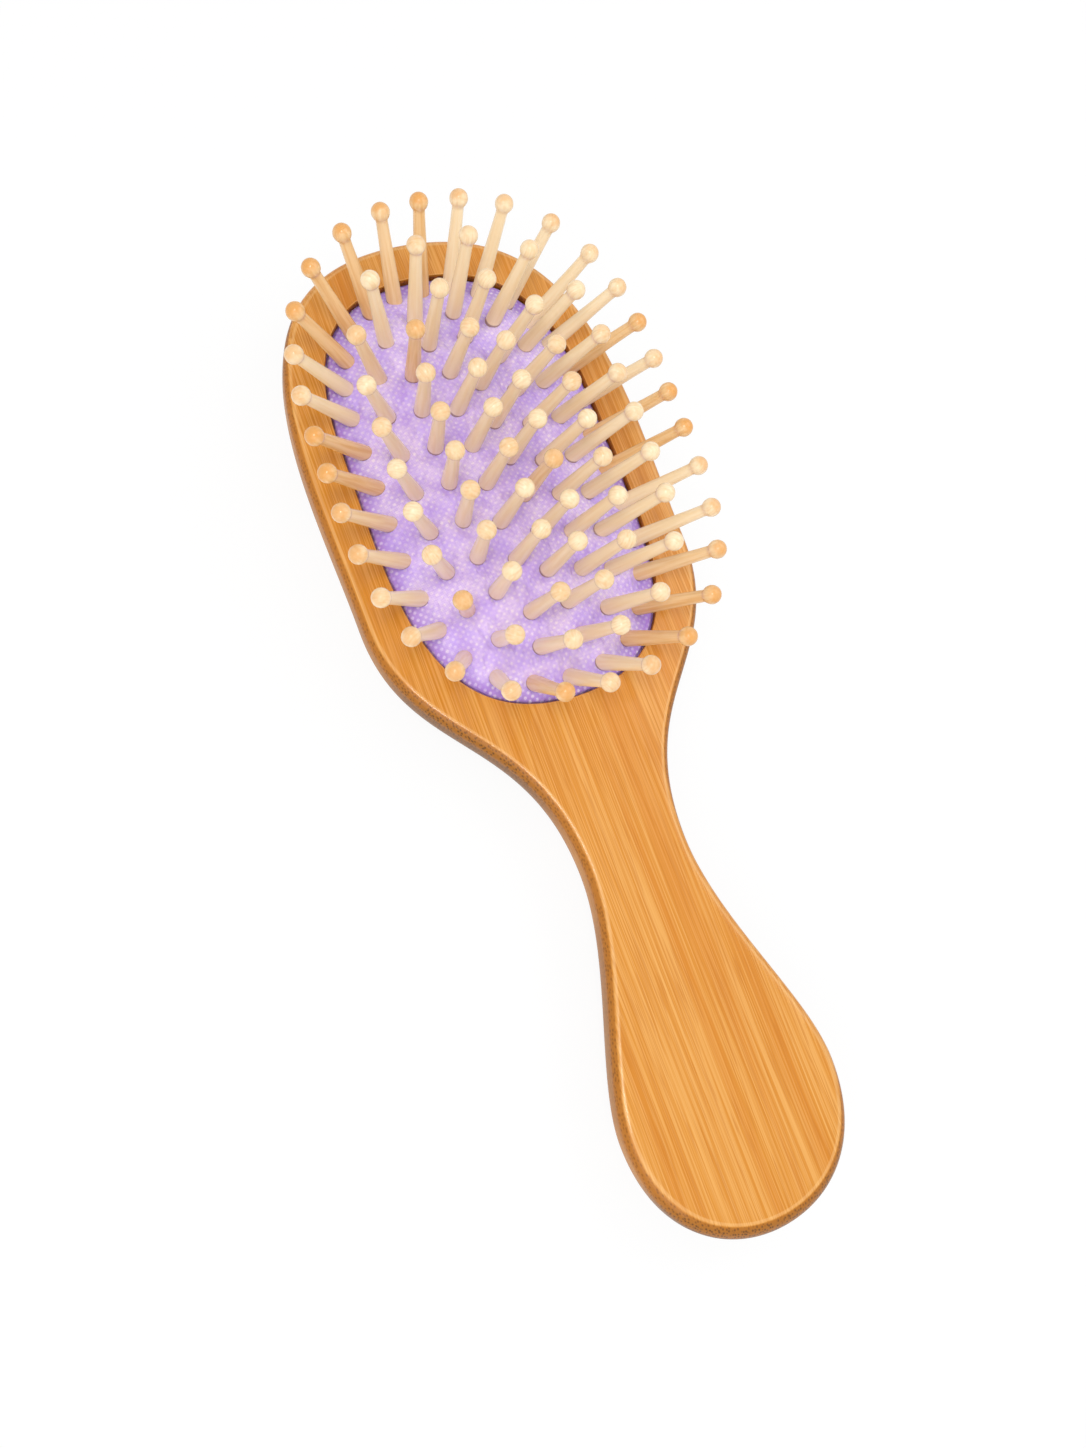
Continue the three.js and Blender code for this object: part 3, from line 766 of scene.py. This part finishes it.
def lie_of_cloth(places, z, calm=1.0):
    """The height of the cloth at some places: the crown z, less the dips at the feet, with puckers."""
    gap = np.linalg.norm(places[:, None, :2] - all_feet[None, :, :2], axis=2)
    dip = DIP * np.exp(-((gap / DIP_REACH) ** 2)).sum(axis=1)
    broad = np.array([noise.noise((x / 5.5, y / 7.5, 4.2)) for x, y in places[:, :2]])
    small = np.array([noise.noise((x / 2.7, y / 3.3, 9.7)) for x, y in places[:, :2]])
    return z - dip + PUCKER * calm * (broad + 0.45 * small)


def sheet_points(out):
    """One row of the sheet's upper side, rolled down at its rim, where the puckers also end."""
    row = cushion_row(out)
    depth = (1 - out) * np.linalg.norm(edge_line - cushion_row(0), axis=1)
    roll = np.clip(ROLL - depth, 0, ROLL)
    z = sheet_top(out) - (ROLL - np.sqrt(ROLL**2 - roll**2))
    return raised(row, lie_of_cloth(row, z, min((1 - out) / 0.12, 1)))


outs = np.concatenate([np.linspace(1, 0.96, 7), np.linspace(0.94, 0, 44)])
upper_side = [sheet_points(out) for out in outs]
print(len(upper_side), "rows of cloth, highest", max(row[:, 2].max() for row in upper_side).round(1), "mm")

# %% Cushion mesh
under_side = [raised(cushion_row(out), sheet_top(out) - SHEET) for out in np.linspace(0, 0.94, 10)]
bead_low, bead_high = groove_bottom + CLEARANCE, groove_top - CLEARANCE
bead = [
    raised(offset(pocket_line, distance), z)
    for distance, z in (
        (-1.8, bead_low),
        (1.1, bead_low),
        (1.5, bead_low + 0.4),
        (1.5, bead_high - 0.3),
        (1.2, bead_high),
        (-CLEARANCE, bead_high),
    )
]
rows = under_side + bead + upper_side
cushion = make_piece("cloth_cushion", np.vstack(rows), quads(len(rows), POCKET_STEPS), cloth, sharp=70)

welded = bmesh.new()
welded.from_mesh(cushion.data)
bmesh.ops.remove_doubles(welded, verts=welded.verts, dist=0.01 * MM)
welded.to_mesh(cushion.data)
open_edges = sum(len(e.link_faces) != 2 for e in welded.edges)
welded.free()
print("cushion welded along its middle line,", open_edges, "open edges")


# %% [markdown]
# ## Turned pins
#
# Each pin is turned from pale hardwood, such as beech: a ball, a slim neck and a shank that
# widens down to its foot. The ball is end grain, so it shows short fine lines, and round its
# pole, where the wood was parted off, a tan mark. The wood varies: most pins are creamy, and a few
# come from darker heartwood. Where a foot goes into the cloth a thin dark rim is painted on it
# as its contact shadow.
#
# The material needs to know where it is on its own pin, whichever way that pin leans. So the
# pattern isn't read from the scene but from attributes on the mesh: `turned` is the place on the
# pin before it was stood up, `above` is the height over the cloth, and `tone` and `cap` are one
# number each for every pin, for its wood and for the strength of its tan mark.

# %% Beech: the wood
# Beech, turned and waxed. To the eye it is cream to tan, smooth, with faint long streaks on the
# shank and small soft highlights on the ball. The pores of beech are under 0.1 mm wide, too fine
# to show in the render, so its figure is drawn coarser, as streaks 0.7 mm wide and 14 mm long.
beech, tree = new_material("turned beech, waxed")
own = add(tree, "ShaderNodeAttribute", attribute_name="turned", attribute_type="GEOMETRY")
tone = add(tree, "ShaderNodeAttribute", attribute_name="tone", attribute_type="GEOMETRY")
cap = add(tree, "ShaderNodeAttribute", attribute_name="cap", attribute_type="GEOMETRY")
above = add(tree, "ShaderNodeAttribute", attribute_name="above", attribute_type="GEOMETRY")
apart = add(tree, "ShaderNodeVectorMath", {0: own.outputs["Vector"], 1: tone.outputs["Vector"]},
            operation="ADD")
long = add(tree, "ShaderNodeMapping", {"Vector": apart.outputs[0], "Scale": cell(0.7, 0.7, 14)})
figure = add(tree, "ShaderNodeTexNoise", {"Vector": long.outputs[0], "Scale": 1.0, "Detail": 2.0})
streak = add(tree, "ShaderNodeMapRange", {0: figure.outputs[0], 1: 0.35, 2: 0.7},
             interpolation_type="SMOOTHSTEP")
pale = add(tree, "ShaderNodeMix", {0: streak.outputs[0], 6: srgb("#F8E6C4"), 7: srgb("#F4DDB4")},
           data_type="RGBA")
dark = add(tree, "ShaderNodeMix", {0: streak.outputs[0], 6: srgb("#EFCB98"), 7: srgb("#E2B478")},
           data_type="RGBA")
heart = add(tree, "ShaderNodeMapRange", {0: tone.outputs["Fac"], 1: 0.7, 2: 1.1},
            interpolation_type="SMOOTHSTEP")
colour = add(tree, "ShaderNodeMix", {0: heart.outputs[0], 6: pale.outputs[2], 7: dark.outputs[2]},
             data_type="RGBA")
print("pale wood and heartwood ready")

# %% Beech: ball and foot
# The lines of the end grain are drawn 0.35 mm wide, about three times as coarse as real ones.
level = add(tree, "ShaderNodeSeparateXYZ", {0: own.outputs["Vector"]})
sawn = add(tree, "ShaderNodeMapping", {"Vector": apart.outputs[0], "Scale": cell(0.35, 1.6, 14)})
year = add(tree, "ShaderNodeTexNoise", {"Vector": sawn.outputs[0], "Scale": 1.0, "Detail": 1.0})
year = add(tree, "ShaderNodeMapRange", {0: year.outputs[0], 1: 0.48, 2: 0.64, 3: 0.0, 4: 0.25})
on_ball = add(tree, "ShaderNodeMapRange", {
    0: level.outputs[2], 1: (PIN_REACH - 2.2) * MM, 2: (PIN_REACH - 0.8) * MM,
})
year = add(tree, "ShaderNodeMath", {0: year.outputs[0], 1: on_ball.outputs[0]}, operation="MULTIPLY")
colour = add(tree, "ShaderNodeMix", {0: year.outputs[0], 6: colour.outputs[2], 7: srgb("#D8A468")},
             data_type="RGBA")
spread = add(tree, "ShaderNodeMapping", {"Vector": apart.outputs[0], "Scale": cell(1.6, 1.6, 1.6)})
blotch = add(tree, "ShaderNodeTexNoise", {"Vector": spread.outputs[0], "Scale": 1.0, "Detail": 2.0})
wander = add(tree, "ShaderNodeMath", {0: blotch.outputs[0], 1: 2.4 * MM, 2: level.outputs[2]},
             operation="MULTIPLY_ADD")
pole = add(tree, "ShaderNodeMapRange", {
    0: wander.outputs[0], 1: (PIN_REACH + 1.0) * MM, 2: (PIN_REACH + 3.0) * MM,
}, interpolation_type="SMOOTHSTEP")
pole = add(tree, "ShaderNodeMath", {0: pole.outputs[0], 1: cap.outputs["Fac"]}, operation="MULTIPLY")
colour = add(tree, "ShaderNodeMix", {0: pole.outputs[0], 6: colour.outputs[2], 7: srgb("#E09E52")},
             data_type="RGBA")
# Painted contact shadow: a thin purple-brown band on the foot just above the cloth.
foot_contact_shadow = add(tree, "ShaderNodeMapRange", {
    0: above.outputs["Fac"], 1: 0.8 * MM, 2: 0.4 * MM, 3: 0.0, 4: 0.75,
}, interpolation_type="SMOOTHSTEP")
colour = add(tree, "ShaderNodeMix", {0: foot_contact_shadow.outputs[0], 6: colour.outputs[2], 7: srgb("#80586A")},
             data_type="RGBA")
print("grain, ball marks and foot rims ready")

# %% Beech: wax
# Wax has an IOR near 1.45. Rubbed to a low gloss, it gives each ball one small soft highlight.
ridges = add(tree, "ShaderNodeBump", {
    "Height": figure.outputs[0], "Strength": 0.05, "Distance": 0.02 * MM,
})
waxed = add(tree, "ShaderNodeBsdfPrincipled", {
    "Base Color": colour.outputs[2], "Roughness": 0.22, "Normal": ridges.outputs[0], "IOR": 1.45,
})
add(tree, "ShaderNodeOutputMaterial", {"Surface": waxed.outputs[0]})
print("beech:", len(tree.nodes), "nodes")


# %% [markdown]
# ### One pin, many times
#
# A repeated shape is a job for Geometry Nodes. The tree turns a pin as a lathe would: a straight
# line of rings, each as wide as the profile says at its height, with more rings towards the ball.
# Below the ball's centre the profile is the shank, and a smooth maximum of shank and ball gives
# the small hollow between them. The pin then stands on every point of the row, along the `axis`
# that the point carries, and spun by a random angle. Realize Instances makes it plain mesh.
#
# Two chance numbers go with each pin, its `tone` and its `cap`. Their least and most values are
# inputs, because the outer row has more pins of darker wood, and stronger tan marks.

# %% Pin tree: inputs
pins = bpy.data.node_groups.new("Turned pins", "GeometryNodeTree")
pins.interface.new_socket("Pins", in_out="OUTPUT", socket_type="NodeSocketGeometry")
pins.interface.new_socket("Feet", in_out="INPUT", socket_type="NodeSocketGeometry")
pin_sizes = {
    "Reach": PIN_REACH,
    "Root": 2.2,
    "Ball radius": BALL / 2,
    "Neck radius": NECK / 2,
    "Foot radius": FOOT / 2,
}
for name in (*pin_sizes, "Least cap", "Most cap", "Least tone", "Most tone"):
    pins.interface.new_socket(name, in_out="INPUT", socket_type="NodeSocketFloat")
for name, value in (("Rings", 38), ("Sides", 18), ("Seed", 1)):
    pins.interface.new_socket(name, in_out="INPUT", socket_type="NodeSocketInt").default_value = value
given = add(pins, "NodeGroupInput").outputs
print("inputs:", [socket.name for socket in given if socket.name])

# %% Pin tree: the rings
line = add(pins, "GeometryNodeCurvePrimitiveLine")
rings = add(pins, "GeometryNodeResampleCurve", {"Curve": line.outputs[0], "Count": given["Rings"]})
share = add(pins, "GeometryNodeSplineParameter")
left = add(pins, "ShaderNodeMath", {0: 1.0, 1: share.outputs["Factor"]}, operation="SUBTRACT")
left = add(pins, "ShaderNodeMath", {0: left.outputs[0], 1: 2.0}, operation="POWER")
top = add(pins, "ShaderNodeMath", {0: given["Reach"], 1: given["Ball radius"]}, operation="ADD")
root = add(pins, "ShaderNodeMath", {0: given["Root"], 1: -1.0}, operation="MULTIPLY")
level = add(pins, "ShaderNodeMapRange", {
    0: left.outputs[0], 1: 1.0, 2: 0.0, 3: root.outputs[0], 4: top.outputs[0],
})
spot = add(pins, "ShaderNodeCombineXYZ", {2: level.outputs[0]})
rings = add(pins, "GeometryNodeSetPosition", {
    "Geometry": rings.outputs[0], "Position": spot.outputs[0],
})
print("rings:", len(pins.nodes), "nodes")

# %% Pin tree: the profile
here = add(pins, "GeometryNodeInputPosition")
z = add(pins, "ShaderNodeSeparateXYZ", {0: here.outputs[0]}).outputs[2]
shank = add(pins, "ShaderNodeMapRange", {
    0: z, 1: -3.0 * MM, 2: given["Reach"], 3: given["Foot radius"], 4: given["Neck radius"],
}, interpolation_type="SMOOTHSTEP")
below = add(pins, "ShaderNodeMath", {0: z, 1: given["Reach"]}, operation="LESS_THAN")
shank = add(pins, "ShaderNodeMath", {0: shank.outputs[0], 1: below.outputs[0]}, operation="MULTIPLY")
rise = add(pins, "ShaderNodeMath", {0: z, 1: given["Reach"]}, operation="SUBTRACT")
rise = add(pins, "ShaderNodeMath", {0: rise.outputs[0], 1: 2.0}, operation="POWER")
square = add(pins, "ShaderNodeMath", {0: given["Ball radius"], 1: 2.0}, operation="POWER")
ball = add(pins, "ShaderNodeMath", {0: square.outputs[0], 1: rise.outputs[0]}, operation="SUBTRACT")
ball = add(pins, "ShaderNodeMath", {0: ball.outputs[0], 1: 0.0}, operation="MAXIMUM")
ball = add(pins, "ShaderNodeMath", {0: ball.outputs[0]}, operation="SQRT")
radius = add(pins, "ShaderNodeMath", {0: shank.outputs[0], 1: ball.outputs[0], 2: 0.35 * MM},
             operation="SMOOTH_MAX")
circle = add(pins, "GeometryNodeCurvePrimitiveCircle", {"Resolution": given["Sides"], "Radius": 1.0})
pin = add(pins, "GeometryNodeCurveToMesh", {
    "Curve": rings.outputs[0], "Profile Curve": circle.outputs[0], "Scale": radius.outputs[0],
    "Fill Caps": True,
})
spot = add(pins, "GeometryNodeInputPosition")
pin = add(pins, "GeometryNodeStoreNamedAttribute", {"Geometry": pin.outputs[0], "Name": "turned"},
          data_type="FLOAT_VECTOR", domain="POINT")
pins.links.new(spot.outputs[0], pin.inputs["Value"])
print("rings and profile:", len(pins.nodes), "nodes")

# %% Pin tree: chance
feet = given["Feet"]
for name, least, most in (("tone", "Least tone", "Most tone"), ("cap", "Least cap", "Most cap")):
    chance = add(pins, "FunctionNodeRandomValue", {
        2: given[least], 3: given[most], "Seed": given["Seed"],
    }, data_type="FLOAT")
    feet = add(pins, "GeometryNodeStoreNamedAttribute", {
        "Geometry": feet, "Name": name, "Value": chance.outputs[1],
    }, data_type="FLOAT", domain="POINT").outputs[0]
print("each pin has a tone and a cap")

# %% Pin tree: the row
axis = add(pins, "GeometryNodeInputNamedAttribute", {"Name": "axis"}, data_type="FLOAT_VECTOR")
stood = add(pins, "FunctionNodeAlignRotationToVector", {"Vector": axis.outputs[0]}, axis="Z")
angle = add(pins, "FunctionNodeRandomValue", {2: 0.0, 3: 2 * math.pi, "Seed": given["Seed"]},
            data_type="FLOAT")
spin = add(pins, "FunctionNodeAxisAngleToRotation", {"Axis": (0, 0, 1), "Angle": angle.outputs[1]})
stood = add(pins, "FunctionNodeRotateRotation", {
    "Rotation": stood.outputs[0], "Rotate By": spin.outputs[0],
}, rotation_space="LOCAL")
row = add(pins, "GeometryNodeInstanceOnPoints", {
    "Points": feet, "Instance": pin.outputs[0], "Rotation": stood.outputs[0],
})
row = add(pins, "GeometryNodeRealizeInstances", {"Geometry": row.outputs[0]})
level = add(pins, "GeometryNodeInputNamedAttribute", {"Name": "level"}, data_type="FLOAT")
spot = add(pins, "GeometryNodeInputPosition")
spot = add(pins, "ShaderNodeSeparateXYZ", {0: spot.outputs[0]})
above = add(pins, "ShaderNodeMath", {0: spot.outputs[2], 1: level.outputs[0]}, operation="SUBTRACT")
row = add(pins, "GeometryNodeStoreNamedAttribute", {
    "Geometry": row.outputs[0], "Name": "above", "Value": above.outputs[0],
}, data_type="FLOAT", domain="POINT")
row = add(pins, "GeometryNodeSetShadeSmooth", {"Geometry": row.outputs[0]})
row = add(pins, "GeometryNodeSetMaterial", {"Geometry": row.outputs[0], "Material": beech})
add(pins, "NodeGroupOutput", {"Pins": row.outputs[0]})
print("whole tree:", len(pins.nodes), "nodes")


# %% [markdown]
# The tree runs once for each row, on a small mesh of loose points, because each row sinks by its
# own share when the cushion is pressed and so has to be a piece of its own. Each point carries
# its pin's `axis` and the `level` of the cloth there. The result is copied out as plain mesh and
# the points are thrown away.

# %% Standing the pins
def stand_pins(name, foot, axis, chances, seed):
    points = bpy.data.meshes.new(name + "_feet")
    points.from_pydata(((foot - (0, LENGTH / 2, 0)) * MM).tolist(), [], [])
    points.attributes.new("axis", "FLOAT_VECTOR", "POINT").data.foreach_set("vector", axis.ravel())
    cloth_level = lie_of_cloth(foot, foot[:, 2]) * MM
    points.attributes.new("level", "FLOAT", "POINT").data.foreach_set("value", cloth_level)
    holder = bpy.data.objects.new(name + "_feet", points)
    bpy.context.scene.collection.objects.link(holder)
    turning = holder.modifiers.new("turning", "NODES")
    turning.node_group = pins
    sockets = {s.name: s.identifier for s in pins.interface.items_tree if s.in_out == "INPUT"}
    for size, value in pin_sizes.items():
        turning[sockets[size]] = float(value * MM)
    for chance, value in chances.items():
        turning[sockets[chance]] = value
    turning[sockets["Seed"]] = seed
    bpy.context.view_layer.update()
    done = holder.evaluated_get(bpy.context.evaluated_depsgraph_get())
    piece = bpy.data.objects.new(name, bpy.data.meshes.new_from_object(done))
    bpy.data.objects.remove(holder)
    bpy.context.scene.collection.objects.link(piece)
    print(name, len(foot), "pins,", len(piece.data.polygons), "faces")
    return piece


print("ready to stand", len(all_feet), "pins, each a copy of one")

# %% Pin rows
FIRST_SEED = 3
OUTER = {"Least cap": 0.45, "Most cap": 0.95, "Least tone": 0.35, "Most tone": 1.2}
INNER = {"Least cap": 0.05, "Most cap": 0.6, "Least tone": 0.0, "Most tone": 1.0}
pin_pieces = {}
for seed, (body, (foot, axis)) in enumerate(pin_rows.items(), FIRST_SEED):
    chances = OUTER if body == "outer_row" else INNER
    pin_pieces[body] = stand_pins(body.replace("row", "pins"), foot, axis, chances, seed)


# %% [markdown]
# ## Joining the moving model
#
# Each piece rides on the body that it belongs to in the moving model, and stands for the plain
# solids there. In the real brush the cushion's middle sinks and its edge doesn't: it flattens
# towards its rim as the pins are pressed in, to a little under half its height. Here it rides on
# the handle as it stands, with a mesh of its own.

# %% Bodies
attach(paddle, "handle")
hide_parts("bamboo_body")
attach(cushion, "handle")
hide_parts("cushion_edge", "cushion_ring")
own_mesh(cushion)
for body, piece in pin_pieces.items():
    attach(piece, body)
    nodes = [n for n in frame["record"]["behaviour"]["bodies"][body] if n != "cushion_ring"]
    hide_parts(*nodes)
    print(piece.name, "rides on", body, "and stands for", len(nodes), "solids")

# %% Size and finish
low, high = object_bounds()
print("visual box in mm:", [round(v / MM, 1) for v in (*low, *high)])
bpy.context.scene.view_settings.view_transform = "Standard"
